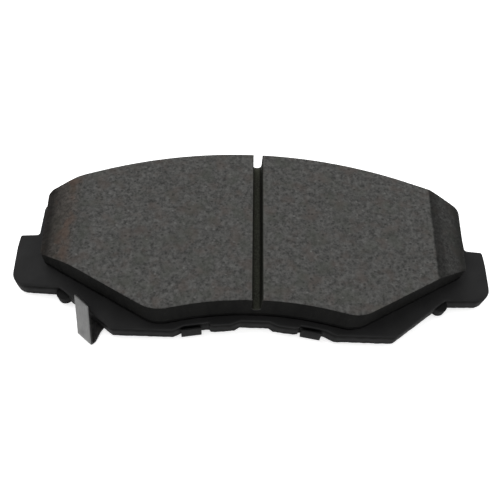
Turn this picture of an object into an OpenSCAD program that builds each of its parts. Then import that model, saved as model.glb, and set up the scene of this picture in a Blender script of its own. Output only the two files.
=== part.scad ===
// Disc brake pad: a stamped steel backing plate with a moulded friction block,
// a wear indicator riveted to its back, a bonded damping shim and a clip-on cover shim.
// Frame: X runs along the pad, +Y towards the disc's rim, +Z towards the disc.
// The origin is the centre of the cover shim's back face, which the pistons push on.

/* [Backing plate] */
// Overall length across the two abutment ears
plate_len = 145.6; // [144.4:0.1:148]
// Thickness of the stamped steel plate
plate_t = 5.6; // [5:0.1:6.5]
// Length across the shoulders above the ears
shoulder_len = 134; // [132:0.1:135]
// Height of the plate's top edge at mid-length
plate_top_y = 30.5; // [29.8:0.1:31.5]
// Height of the lobes' bottom edge
lobe_y = -28.1; // [-28.6:0.1:-27.6]
// Upper edge of the ears at their outer end
ear_top_y = 2; // [1:0.1:3]
// Lower edge of the ears at their outer end
ear_bottom_y = -15.1; // [-15.6:0.1:-14.6]

/* [Friction block] */
// Radius of the friction block's outer arc
arc_r = 139; // [134:1:144]
// Height of the friction block's outer arc at mid-length
block_top_y = 28.5; // [27.5:0.1:28.6]
// Length of the friction block at its bottom corners
block_len = 126.6; // [125:0.1:128]
// Height of the friction block above the plate, with its bond and underlayer
block_h = 11; // [9:0.1:12]
// Width of the dust slot across the middle
slot_w = 2.8; // [2:0.1:4]
// Depth of the dust slot
slot_depth = 6.6; // [4:0.1:6.8]
// Drop of the end chamfers at the block's ends
chamfer_drop = 4.5; // [3:0.1:5.5]
// Half the distance between the two chamfer lines at mid-height
chamfer_x = 53.4; // [52:0.1:56]

/* [Bond and underlayer] */
// Thickness of the adhesive between plate and block
bond_t = 0.15; // [0.1:0.01:0.2]
// Thickness of the underlayer between adhesive and lining
underlayer_t = 2; // [1.5:0.1:2.2]
// Radius of the retention holes that the underlayer is moulded into
key_r = 6; // [4:0.1:7]
// Distance of each retention hole from mid-length
key_x = 27; // [24:1:32]

/* [Shims] */
// Thickness of the cover shim's steel
cover_t = 0.5; // [0.4:0.05:0.6]
// Thickness of each rubber coat on the damping shim
coat_t = 0.15; // [0.1:0.01:0.2]
// Thickness of the damping shim's steel core
core_t = 0.4; // [0.3:0.05:0.5]
// Thickness of the adhesive that holds the damping shim to the plate
glue_t = 0.1; // [0.05:0.01:0.15]
// Width of the cover shim's bottom tabs
tab_w = 6; // [5:0.1:6.2]
// Height of the cover shim's tabs from its back face
tab_h = 5.6; // [5:0.1:6.6]

/* [Wear indicator] */
// Width of the spring steel strip
strip_w = 5.6; // [4.8:0.1:5.8]
// Thickness of the strip
strip_t = 0.8; // [0.6:0.1:0.8]
// Inward lean of the upright tab, degrees from vertical
tab_lean = 32; // [25:1:34]
// Length of the upright tab beyond the bend
upright_len = 10.5; // [8:0.1:11]
// Sideways run of the upright tab over its length
upright_skew = 5.1; // [0:0.1:5.4]
// Radius of the indicator rivet's shank
rivet_r = 1.5; // [1.3:0.1:1.6]

/* [Hidden] */
$fn = 96;

// Heights of the layers, stacked from the cover shim's back face
z_coat_out = cover_t;
z_core = z_coat_out + coat_t;
z_coat_in = z_core + core_t;
z_glue = z_coat_in + coat_t;
z_plate = z_glue + glue_t;
z_bond = z_plate + plate_t;
z_under = z_bond + bond_t;
z_lining = z_under + underlayer_t;
z_face = z_bond + block_h;

// Gap between pieces that are slipped together
slip = 0.05;
// Overlap that makes a cut pass cleanly through a face
cut = 1;
// Longer than the pad, for cutters that run right across it
far = 200;

// The ears: a bowed outer edge, and upper and lower edges that spread towards the plate
ear_belly_y = -2;
ear_belly_r = 40;
ear_tip_in = 0.3;
ear_tip_r = 0.8;
ear_heel_in = 0.6;
ear_heel_r = 4.5;
ear_head_rise = 0.4;
ear_foot_drop = 0.5;
root_r = 0.8;
shoulder_r = 3;

// The plate's lower outline, and the low round lugs where its flanks meet the ears
lobe_r = 2.6;
lobe_end_x = 41.5;
flank_top = [57.9, ear_bottom_y - ear_foot_drop];
lug_pos = [56.8, -16];
lug_r = 2.4;
lug_h = 3.4;
lug_root = 1.5;
waist_y = -24.4;
waist_x = 4.2;
bump_y = -26;
bump_end_x = 13;
lobe_start_x = 23.8;
lobe_slant = 3;

// The slanted roofs beside the lobes, which the cover shim's bottom tabs fold up past
roof_slant = 9.5;
roof_y = -26.1;
roof_mid_x = 18.1;

// The friction block's lower outline
flank_foot = [34, -24.5];
flank_angle = 28.9;
hollow_r = 96;
hollow_y = -23;
heel_r = 10;
end_lean = 3.3;
chamfer_lean = 2.5;
crown_end_x = 48;
end_rise = 20.6;
end_foot_r = 1.5;
end_top_r = 2.5;

// Cover shim tabs: the bottom pair sits a little to one side of the middle, and clear of its roofs
tab_x = 17.6;
tab_offset = 0.85;
tab_gap = 0.5;
tab_bend_r = 0.9;
tab_reach = 3;
top_tab_x = 36;
top_tab_w = 8;
top_notch_depth = 1.1;
top_notch_play = 1.4;

// The shims' outline stays inside the plate's edge by this much
shim_inset = 1.2;
shim_half_len = 61;
shim_end_r = 3;
shim_foot_r = 2.5;
window_r = 2.6;
window_len = 13;
window_x = 33;
window_y = 4;
window_tilt = 12;

// The indicator's own frame: origin mid-width under its bend, +Y along the strip to the rivet
fold_pos = [-49.18, -28.99];
fold_angle = -39;
bend_r = 1.2;
bend_y = 0.54;
strip_run = 16.7;
rivet_head_r = 2.6;
rivet_head_h = 1.1;
rivet_tail_r = 2.5;
strip_play = 0.9;

// The strip's foot: a neck cut into its +X side and a flare on its -X side, and how far along each turns
neck_in = 1.2;
neck_y = [1.2, 5, 13];
flare_out = 2.3;
flare_y = [1.2, 4.6, 9, 12.5];

// Unit vector from point a to point b
function toward(a, b) = (b - a) / norm(b - a);

// Points of one rounded corner: c between its neighbours p and n, with radius r, in steps parts
function corner(p, c, n, r, steps = 8) =
    let (u = toward(c, p),
         v = toward(c, n),
         half = acos(u * v) / 2,
         centre = c + (u + v) / norm(u + v) * r / sin(half),
         first = c + u * r / tan(half),
         turn = sign(u[0] * v[1] - u[1] * v[0]) * (180 - 2 * half) / steps,
         spoke = first - centre)
    r == 0 ? [c] : [for (i = [0 : steps])
        let (a = -i * turn)
        centre + [spoke[0] * cos(a) - spoke[1] * sin(a), spoke[0] * sin(a) + spoke[1] * cos(a)]];

// A closed outline whose corners are [x, y, radius]
function rounded(pts) =
    let (n = len(pts),
         at = function (i) [pts[(i + n) % n][0], pts[(i + n) % n][1]])
    [for (i = [0 : n - 1]) each corner(at(i - 1), at(i), at(i + 1), pts[i][2])];

// The right half of an outline followed by its mirror image, one closed loop
function both_halves(pts) =
    let (n = len(pts))
    concat(pts, [for (i = [n - 1 : -1 : 0]) [-pts[i][0], pts[i][1], pts[i][2]]]);

// Height of a circle of radius r, whose top is at y = top, at distance x from mid-length
function arc_y(r, top, x) = top - r + sqrt(r * r - x * x);

// Outline corner on the middle line, where that circle's tangent at distance x arrives
function apex(r, top, x) = [0, arc_y(r, top, x) + x * x / sqrt(r * r - x * x), 0];

module mirrored() {
    children();
    mirror([1, 0, 0]) children();
}

// A disc of radius r whose highest point is at y = top on the middle line
module crown(r, top) {
    translate([0, top - r]) circle(r = r, $fn = 360);
}

// ---- Backing plate ----
// Height of the slanted roof at distance x from mid-length
function roof_at(x) = roof_y - (x - roof_mid_x) * tan(roof_slant);

module plate_outline() {
    half_len = plate_len / 2;
    shoulder_x = shoulder_len / 2;
    shoulder_top = arc_y(arc_r, plate_top_y, shoulder_x);
    intersection() {
        polygon(rounded(both_halves([
            [waist_x, waist_y, 1],
            [waist_x + 2.8, waist_y - 1.2, 1.6],
            [bump_end_x - 1.4, bump_y - 0.1, 1.5],
            [bump_end_x, bump_y, 0.5],
            [bump_end_x + 0.4, roof_at(bump_end_x + 0.4), 0.3],
            [lobe_start_x - lobe_slant, roof_at(lobe_start_x - lobe_slant), 0.6],
            [lobe_start_x, lobe_y, 1.6],
            [lobe_end_x, lobe_y, lobe_r],
            [flank_top[0], flank_top[1], 0.6],
            [half_len - ear_heel_in, ear_bottom_y, ear_heel_r],
            [half_len, ear_belly_y, ear_belly_r],
            [half_len - ear_tip_in, ear_top_y, ear_tip_r],
            [shoulder_x, ear_top_y + ear_head_rise, root_r],
            [shoulder_x, shoulder_top, shoulder_r],
            apex(arc_r, plate_top_y, shoulder_x)])));
        crown(arc_r, plate_top_y);
    }
}

// Places children on the plate's top edge at distance x, with +Y pointing outwards
module on_top_edge(x) {
    y = arc_y(arc_r, plate_top_y, x);
    translate([x, y]) rotate(-asin(x / arc_r)) children();
}

module plate_with_notches() {
    difference() {
        plate_outline();
        mirrored() on_top_edge(top_tab_x)
            translate([0, cut / 2 - top_notch_depth / 2])
                square([top_tab_w + top_notch_play, top_notch_depth + cut], center = true);
    }
}

// Places children in the wear indicator's own frame
module at_indicator() {
    translate(fold_pos) rotate(fold_angle) children();
}

module at_rivet() {
    at_indicator() translate([0, strip_run, 0]) children();
}

// A low lug: a round end on a straight-sided root that runs up into the plate
module lug() {
    cylinder(r = lug_r, h = lug_h);
    translate([-lug_r, 0, 0]) cube([2 * lug_r, lug_root, lug_h]);
}

module backing_plate() {
    color([0.13, 0.13, 0.13])
        difference() {
            union() {
                translate([0, 0, z_plate]) linear_extrude(plate_t) plate_with_notches();
                mirrored() translate([lug_pos[0], lug_pos[1], z_plate]) lug();
            }
            mirrored() translate([key_x, 0, z_plate - cut]) cylinder(r = key_r, h = plate_t + 2 * cut);
            at_rivet() {
                translate([0, 0, z_plate - cut]) cylinder(r = rivet_r + slip, h = plate_t + 2 * cut);
                translate([0, 0, z_bond - rivet_head_h])
                    cylinder(r1 = rivet_r + slip, r2 = rivet_head_r + slip, h = rivet_head_h);
            }
        }
}

// ---- Friction block ----
// Outline of the block: two slanted flanks, two leaning ends, and an arc that runs out straight
module block_outline() {
    end_x = block_len / 2;
    top_x = end_x + end_rise * tan(end_lean);
    crown_end_y = arc_y(arc_r, block_top_y, crown_end_x);
    peak = apex(arc_r, block_top_y, crown_end_x);
    top_y = crown_end_y - (peak[1] - crown_end_y) * (top_x - crown_end_x) / crown_end_x;
    foot_y = flank_foot[1] + (end_x - flank_foot[0]) * tan(flank_angle);
    heel_x = 29.2;
    heel_y = flank_foot[1] + (heel_x - flank_foot[0]) * tan(flank_angle);
    hollow_x = 18;
    difference() {
        intersection() {
            polygon(rounded(both_halves([
                [hollow_x, arc_y(hollow_r, hollow_y, hollow_x), 0],
                [heel_x, heel_y, heel_r],
                [end_x, foot_y, end_foot_r],
                [top_x, top_y, end_top_r],
                peak])));
            union() {
                crown(arc_r, block_top_y);
                mirrored() translate([crown_end_x, -far / 2]) square(far);
            }
        }
        crown(hollow_r, hollow_y);
    }
}

// One end chamfer's cutter: a wedge that starts at the chamfer line and drops towards the end
module chamfer_wedge() {
    slope = chamfer_drop / (block_len / 2 - chamfer_x);
    translate([chamfer_x, 0, z_face])
        rotate([90, 0, -chamfer_lean])
            linear_extrude(far, center = true)
                polygon([[0, 0],
                         [far, -far * slope],
                         [far, cut],
                         [0, cut]]);
}

// The dust slot: a straight saw cut with a round floor
module slot_cut() {
    floor_z = z_face - slot_depth + slot_w / 2;
    rotate([90, 0, 0])
        linear_extrude(far, center = true) {
            translate([0, floor_z]) circle(d = slot_w);
            translate([-slot_w / 2, floor_z]) square([slot_w, slot_depth]);
        }
}

module friction_lining() {
    color([0.29, 0.29, 0.28])
        difference() {
            translate([0, 0, z_lining]) linear_extrude(z_face - z_lining) block_outline();
            mirrored() chamfer_wedge();
            slot_cut();
        }
}

// The underlayer and its two keys, moulded through the plate's retention holes
module underlayer() {
    color([0.10, 0.10, 0.10]) {
        translate([0, 0, z_under]) linear_extrude(underlayer_t) block_outline();
        mirrored() translate([key_x, 0, z_plate]) cylinder(r = key_r - slip, h = z_lining - z_plate);
    }
}

module friction_bond() {
    color([0.05, 0.05, 0.05])
        difference() {
            translate([0, 0, z_bond]) linear_extrude(bond_t) block_outline();
            mirrored() translate([key_x, 0, z_bond - cut]) cylinder(r = key_r, h = bond_t + 2 * cut);
        }
}

// ---- Shims ----
module shim_outline() {
    bottom = lobe_y + shim_inset;
    corner_x = lobe_end_x - shim_inset / 2;
    slope = (flank_top[1] - lobe_y) / (flank_top[0] - lobe_end_x);
    end_y = bottom + (shim_half_len - corner_x) * slope;
    top = plate_top_y - shim_inset;
    intersection() {
        polygon(rounded(both_halves([
            [waist_x - 0.5, waist_y + shim_inset, 0.8],
            [waist_x + 1.6, bump_y + shim_inset, 0.8],
            [lobe_start_x - 1, bump_y + shim_inset, 0.8],
            [lobe_start_x + 0.6, bottom, 1],
            [corner_x, bottom, shim_foot_r],
            [shim_half_len, end_y, shim_foot_r],
            [shim_half_len, arc_y(arc_r, top, shim_half_len), shim_end_r],
            apex(arc_r, top, shim_half_len)])));
        crown(arc_r, top);
    }
}

// The flare on one side of the strip's foot, which starts inside the strip; play widens it all round
module strip_flare(play = 0) {
    near = -strip_w / 2 - play;
    far_side = near - flare_out;
    polygon([[near + play + 1, flare_y[0] - play],
             [near, flare_y[0] - play],
             [far_side, flare_y[1] - play / 2],
             [far_side, flare_y[2] + play / 2],
             [near, flare_y[3] + play],
             [near + play + 1, flare_y[3] + play]]);
}

// Keyhole that clears the indicator's strip and rivet
module strip_keyhole() {
    at_indicator() {
        translate([0, strip_run]) circle(r = strip_w / 2 + strip_play);
        translate([-strip_w / 2 - strip_play, -cut]) square([strip_w + 2 * strip_play, strip_run + cut]);
        strip_flare(strip_play);
    }
}

module shim_blank() {
    difference() {
        shim_outline();
        strip_keyhole();
    }
}

// One flat layer of the damping shim
module shim_layer(z, t) {
    translate([0, 0, z]) linear_extrude(t) shim_blank();
}

module shim_adhesive() {
    color([0.75, 0.73, 0.66]) shim_layer(z_glue, glue_t);
}

module shim_inner_coat() {
    color([0.07, 0.07, 0.07]) shim_layer(z_coat_in, coat_t);
}

module shim_core() {
    color([0.62, 0.62, 0.63]) shim_layer(z_core, core_t);
}

module shim_outer_coat() {
    color([0.07, 0.07, 0.07]) shim_layer(z_coat_out, coat_t);
}

// A folded tab: its outer face is the plane y = 0, +Y points away from the plate
module fold_tab(w, h) {
    rotate([90, 0, 90])
        linear_extrude(w, center = true)
            difference() {
                union() {
                    translate([-tab_reach, 0]) square([tab_reach - tab_bend_r, cover_t]);
                    translate([-tab_bend_r, tab_bend_r]) circle(r = tab_bend_r);
                    translate([-cover_t, tab_bend_r]) square([cover_t, h - tab_bend_r]);
                }
                translate([-tab_bend_r, tab_bend_r]) circle(r = tab_bend_r - cover_t);
                translate([-tab_reach, cover_t]) square([tab_reach - cover_t, h]);
            }
}

// Places a tab in front of the slanted roof, at distance x from the middle
module at_bottom_tab(x) {
    translate([x, roof_at(x) - tab_gap - cover_t, 0]) rotate(180 - roof_slant) children();
}

// Places a tab in the notch of the plate's top edge
module at_top_tab() {
    on_top_edge(top_tab_x)
        translate([0, 2 * slip + cover_t - top_notch_depth, 0]) children();
}

module grease_window() {
    translate([window_x, window_y]) rotate(-window_tilt) {
        square([window_len, 2 * window_r], center = true);
        for (side = [-1, 1]) translate([side * window_len / 2, 0]) circle(r = window_r);
    }
}

module cover_shim() {
    color([0.16, 0.16, 0.16]) {
        linear_extrude(cover_t)
            difference() {
                shim_blank();
                mirrored() grease_window();
            }
        mirrored() at_top_tab() fold_tab(top_tab_w, tab_h);
        at_bottom_tab(tab_x - tab_offset) fold_tab(tab_w, tab_h);
        mirror([1, 0, 0]) at_bottom_tab(tab_x + tab_offset) fold_tab(tab_w, tab_h);
    }
}

// ---- Wear indicator ----
// Side view of the bent strip: the flat foot, the bend, and the upright tab that leans back over it
module strip_side_view() {
    half_opening = (90 - tab_lean) / 2;
    inner_r = bend_r - strip_t;
    up = [sin(tab_lean), cos(tab_lean)];
    inward = [cos(tab_lean), -sin(tab_lean)];
    heel = [bend_y - bend_r / tan(half_opening), 0];
    tip = heel + (bend_r / tan(half_opening) + upright_len) * up;
    foot_end = strip_run + strip_w;
    polygon(rounded([
        [foot_end, 0, 0],
        [heel[0], heel[1], bend_r],
        [tip[0], tip[1], 0],
        [tip[0] + strip_t * inward[0], tip[1] + strip_t * inward[1], 0],
        [bend_y - inner_r / tan(half_opening), strip_t, inner_r],
        [foot_end, strip_t, 0]]));
}

// Front view of the strip: straight up to the bend, then running sideways to past the tip
module strip_front_view() {
    half = strip_w / 2;
    start_z = bend_r * (1 + sin(tab_lean));
    past_tip = 1.1;
    rise = upright_len * cos(tab_lean) * past_tip;
    run = upright_skew * past_tip;
    polygon([[-half, -cut],
             [half, -cut],
             [half, start_z],
             [half - run, start_z + rise],
             [-half - run, start_z + rise],
             [-half, start_z]]);
}

// Plan view of the strip's foot, with its round end at the rivet and a neck between the two
module strip_plan() {
    half = strip_w / 2;
    difference() {
        union() {
            translate([0, strip_run]) circle(d = strip_w);
            translate([-far / 2, -far / 2]) square([far, far / 2 + strip_run]);
        }
        polygon([[half, neck_y[0]],
                 [half - neck_in, neck_y[1]],
                 [half - neck_in, neck_y[2]],
                 [half, strip_run],
                 [half + cut, strip_run],
                 [half + cut, neck_y[0]]]);
    }
}

module wear_indicator() {
    color([0.55, 0.55, 0.54])
        at_indicator() translate([0, 0, z_plate - strip_t])
            difference() {
                union() {
                    intersection() {
                        rotate([90, 0, 90]) linear_extrude(far, center = true) strip_side_view();
                        rotate([90, 0, 0]) linear_extrude(far, center = true) strip_front_view();
                        translate([0, 0, -cut]) linear_extrude(far) strip_plan();
                    }
                    linear_extrude(strip_t) strip_flare();
                }
                translate([0, strip_run, -cut]) cylinder(r = rivet_r + slip, h = strip_t + 2 * cut);
            }
}

module indicator_rivet() {
    tail_h = z_plate - strip_t;
    color([0.50, 0.50, 0.50])
        at_rivet() {
            cylinder(r1 = rivet_tail_r - tail_h / 2, r2 = rivet_tail_r, h = tail_h);
            cylinder(r = rivet_r, h = z_bond - 2 * slip);
            translate([0, 0, z_bond - rivet_head_h])
                cylinder(r1 = rivet_r, r2 = rivet_head_r, h = rivet_head_h - 2 * slip);
        }
}

backing_plate();
friction_bond();
underlayer();
friction_lining();
shim_adhesive();
shim_inner_coat();
shim_core();
shim_outer_coat();
cover_shim();
wear_indicator();
indicator_rivet();
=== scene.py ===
import math
import random

import bmesh
import bpy
import numpy as np
from mathutils import Matrix, Vector, geometry, noise


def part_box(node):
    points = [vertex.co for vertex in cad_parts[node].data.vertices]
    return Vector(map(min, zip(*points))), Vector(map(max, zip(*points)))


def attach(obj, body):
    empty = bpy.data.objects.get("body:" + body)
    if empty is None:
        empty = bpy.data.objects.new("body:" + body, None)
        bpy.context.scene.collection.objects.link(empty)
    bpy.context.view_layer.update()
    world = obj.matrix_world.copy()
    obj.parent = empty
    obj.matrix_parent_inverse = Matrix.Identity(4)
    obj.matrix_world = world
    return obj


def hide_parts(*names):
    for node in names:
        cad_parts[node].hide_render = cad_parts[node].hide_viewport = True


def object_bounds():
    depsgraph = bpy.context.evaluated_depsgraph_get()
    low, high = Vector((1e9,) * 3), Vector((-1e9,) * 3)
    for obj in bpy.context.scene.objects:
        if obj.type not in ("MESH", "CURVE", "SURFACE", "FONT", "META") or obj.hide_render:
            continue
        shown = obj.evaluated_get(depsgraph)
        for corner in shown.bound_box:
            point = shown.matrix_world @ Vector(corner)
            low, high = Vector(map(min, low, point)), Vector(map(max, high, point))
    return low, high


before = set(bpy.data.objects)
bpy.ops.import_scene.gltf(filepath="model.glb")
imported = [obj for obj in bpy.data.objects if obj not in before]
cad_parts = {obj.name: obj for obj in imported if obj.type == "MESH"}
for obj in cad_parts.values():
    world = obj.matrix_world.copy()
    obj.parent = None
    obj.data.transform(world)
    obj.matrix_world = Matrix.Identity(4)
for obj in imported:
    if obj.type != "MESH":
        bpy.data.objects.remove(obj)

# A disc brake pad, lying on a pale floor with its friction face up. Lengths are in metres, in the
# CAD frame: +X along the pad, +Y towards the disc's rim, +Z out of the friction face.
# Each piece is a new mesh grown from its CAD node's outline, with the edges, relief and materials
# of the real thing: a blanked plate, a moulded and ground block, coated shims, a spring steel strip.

MM = 0.001
# How far the chamfer lines lean away from the Y axis, as a slope
CHAMFER_LEAN = math.tan(math.radians(2.5))
cad_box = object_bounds()
rng = random.Random(7)


# ---------------------------------------------------------------- outlines from the CAD nodes

def welded_mesh(node):
    """The CAD node's mesh as a bmesh whose faces share their corners."""
    bm = bmesh.new()
    bm.from_mesh(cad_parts[node].data)
    bmesh.ops.remove_doubles(bm, verts=bm.verts, dist=0.001 * MM)
    bm.normal_update()
    return bm


def signed_area(loop):
    """The outline's area, above zero where its points run anticlockwise."""
    x, y = loop[:, 0], loop[:, 1]
    return 0.5 * float(np.sum(x * np.roll(y, -1) - y * np.roll(x, -1)))


def cap_loops(node, z):
    """Closed outlines of the node's flat faces at height z, the longest first. Material is on their left."""
    bm = welded_mesh(node)
    flat = {f for f in bm.faces if all(abs(v.co.z - z) < 0.002 * MM for v in f.verts)}
    following = {}
    for face in flat:
        forward = face.normal.z > 0
        for side in face.loops:
            if sum(f in flat for f in side.edge.link_faces) == 1:
                a, b = side.vert, side.link_loop_next.vert
                if not forward:
                    a, b = b, a
                following[a.index] = b.index
    places = {v.index: (v.co.x, v.co.y) for v in bm.verts}
    bm.free()
    loops = []
    while following:
        first = at = next(iter(following))
        loop = []
        while at in following:
            loop.append(places[at])
            at = following.pop(at)
        if at == first and len(loop) > 2:
            loops.append(np.array(loop))
    return sorted(loops, key=lambda loop: -abs(signed_area(loop)))


def smoothed(loop, spacing, gentle_turn=math.radians(25)):
    """The outline with points no further apart than spacing, curved wherever it only bends gently."""
    ahead = np.roll(loop, -1, 0) - loop
    behind = np.roll(ahead, 1, 0)
    length = np.linalg.norm(ahead, axis=1)
    unit = ahead / length[:, None]
    gentle = (unit * np.roll(unit, 1, 0)).sum(1) > math.cos(gentle_turn)
    through = (ahead + behind) / np.linalg.norm(ahead + behind, axis=1)[:, None]
    points = []
    for i, start in enumerate(loop):
        j = (i + 1) % len(loop)
        leave = (through[i] if gentle[i] else unit[i]) * length[i]
        arrive = (through[j] if gentle[j] else unit[i]) * length[i]
        steps = max(1, math.ceil(length[i] / spacing))
        for t in np.arange(steps) / steps:
            points.append((2 * t**3 - 3 * t**2 + 1) * start + (t**3 - 2 * t**2 + t) * leave
                          + (3 * t**2 - 2 * t**3) * loop[j] + (t**3 - t**2) * arrive)
    return np.array(points)


def inset(loop, amount):
    """The outline moved towards its material, by one amount or by one for each point. Points that would
    run backwards are drawn together."""
    sharpest_mitre = 0.35
    untangling_passes = 12
    ahead = np.roll(loop, -1, 0) - loop
    unit = ahead / np.maximum(np.linalg.norm(ahead, axis=1), 1e-9)[:, None]
    left = np.stack([-unit[:, 1], unit[:, 0]], 1)
    both = left + np.roll(left, 1, 0)
    mitre = both / np.maximum((both * left).sum(1), sharpest_mitre)[:, None]
    moved = loop + mitre * np.broadcast_to(np.asarray(amount, float), len(loop))[:, None]
    for _ in range(untangling_passes):
        edge = np.roll(moved, -1, 0) - moved
        folded = np.nonzero((edge * unit).sum(1) < 0)[0]
        if not len(folded):
            break
        for i in folded:
            j = (i + 1) % len(moved)
            moved[i] = moved[j] = (moved[i] + moved[j]) / 2
    return moved


def inside(points, loops):
    """Which of the points have material round them, by the even-odd rule over all the outlines."""
    found = np.zeros(len(points), bool)
    x, y = points[:, 0], points[:, 1]
    for loop in loops:
        for (ax, ay), (bx, by) in zip(loop, np.roll(loop, -1, 0)):
            if ay != by:
                found ^= ((ay > y) != (by > y)) & (x < (bx - ax) * (y - ay) / (by - ay) + ax)
    return found


def scattered(loops, spacing):
    """Points about one spacing apart inside the outlines, each a little off its grid place."""
    stray, margin = 0.3, 0.6 * spacing
    low, high = loops[0].min(0), loops[0].max(0)
    columns = np.arange(low[0], high[0], spacing)
    rows = np.arange(low[1], high[1], spacing)
    grid = np.array([(x + rng.uniform(-stray, stray) * spacing, y + rng.uniform(-stray, stray) * spacing)
                     for x in columns for y in rows]).reshape(-1, 2)
    grid = grid[inside(grid, loops)]
    edge = np.concatenate(loops)
    clear = [float(np.min(np.sum((edge - p) ** 2, 1))) > margin ** 2 for p in grid]
    return grid[np.array(clear, bool)] if len(grid) else grid


def noise_at(x, y, z, size, octaves=3):
    """Smooth noise between about -1 and 1 whose features are about size across."""
    return noise.fractal(Vector((x, y, z)) / size, 0.9, 2.0, octaves)


# ---------------------------------------------------------------- building solids

class Solid:
    """One closed mesh, put together from walls between rings and caps over rings."""

    def __init__(self):
        self.bm = bmesh.new()

    def wall(self, rings, slot=0):
        """Quads between each ring and the next. Rings run round the material's left side, bottom first."""
        rows = [[self.bm.verts.new(p) for p in ring] for ring in rings]
        for low, high in zip(rows, rows[1:]):
            for i in range(len(low)):
                j = (i + 1) % len(low)
                self.bm.faces.new((low[i], low[j], high[j], high[i])).material_index = slot

    def strip(self, rows, slot=0):
        """Quads between open rows of points."""
        rows = [[self.bm.verts.new(p) for p in row] for row in rows]
        for low, high in zip(rows, rows[1:]):
            for i in range(len(low) - 1):
                self.bm.faces.new((low[i], low[i + 1], high[i + 1], high[i])).material_index = slot

    def cap(self, loops, height, spacing, up, slot=0, lines=()):
        """Triangles over the outlines, at the height that height(x, y) gives. lines are kept as edges."""
        points, edges, regions = [], [], []
        for loop in loops:
            numbers = list(range(len(points), len(points) + len(loop)))
            points += [tuple(p) for p in loop]
            regions.append(numbers if signed_area(loop) > 0 else numbers[::-1])
        for line in lines:
            first = len(points)
            points += [tuple(p) for p in line]
            edges += [(first + i, first + i + 1) for i in range(len(line) - 1)]
        points += [tuple(p) for p in scattered(loops, spacing)]
        flat = [Vector(p) / MM for p in points]
        places, _, triangles, _, _, owners = geometry.delaunay_2d_cdt(flat, edges, regions, 0, 1e-5)
        places = np.array([tuple(p) for p in places]) * MM
        kept = [t for t, owner in zip(triangles, owners) if list(owner) == [0]]
        verts = {i: self.bm.verts.new((*places[i], height(*places[i]))) for t in kept for i in t}
        for t in kept:
            a, b, c = (places[i] for i in t)
            turns_left = (b[0] - a[0]) * (c[1] - a[1]) - (b[1] - a[1]) * (c[0] - a[0]) > 0
            order = t if turns_left == up else reversed(t)
            self.bm.faces.new([verts[i] for i in order]).material_index = slot

    def placed(self, place):
        """Moves every corner through place(x, y, z)."""
        for v in self.bm.verts:
            v.co = place(*v.co)

    def finish(self, name, materials, sharp=math.radians(40)):
        """The welded mesh as an object, smooth except where it turns by more than sharp."""
        bmesh.ops.remove_doubles(self.bm, verts=self.bm.verts, dist=0.0005 * MM)
        bmesh.ops.dissolve_degenerate(self.bm, edges=self.bm.edges, dist=0.0005 * MM)
        bmesh.ops.delete(self.bm, geom=[e for e in self.bm.edges if not e.link_faces], context="EDGES")
        bmesh.ops.delete(self.bm, geom=[v for v in self.bm.verts if not v.link_faces], context="VERTS")
        bmesh.ops.recalc_face_normals(self.bm, faces=self.bm.faces)
        mesh = bpy.data.meshes.new(name)
        self.bm.to_mesh(mesh)
        self.bm.free()
        mesh.polygons.foreach_set("use_smooth", [True] * len(mesh.polygons))
        mesh.set_sharp_from_angle(angle=sharp)
        for material in materials:
            mesh.materials.append(material)
        piece = bpy.data.objects.new(name, mesh)
        bpy.context.scene.collection.objects.link(piece)
        return piece


def united(piece, extras, sharp=math.radians(40)):
    """Joins the extra closed pieces into piece, as one closed mesh."""
    for extra in extras:
        join = piece.modifiers.new("join", "BOOLEAN")
        join.operation = "UNION"
        join.solver = "MANIFOLD"
        join.object = extra
    whole = bpy.data.meshes.new_from_object(piece.evaluated_get(bpy.context.evaluated_depsgraph_get()))
    piece.modifiers.clear()
    piece.data = whole
    for extra in extras:
        bpy.data.objects.remove(extra)
    whole.polygons.foreach_set("use_smooth", [True] * len(whole.polygons))
    whole.set_sharp_from_angle(angle=sharp)


def ring(loop, z):
    """The outline lifted to height z, which is one height or one for each point."""
    return np.column_stack([loop, np.broadcast_to(np.asarray(z, float), len(loop))])


def stands_for(piece, node):
    """Makes the piece the new look of its CAD node."""
    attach(piece, "root")
    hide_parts(node)


def heights(node):
    """The CAD node's lowest and highest Z."""
    low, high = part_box(node)
    return low.z, high.z


# ---------------------------------------------------------------- materials

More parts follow.
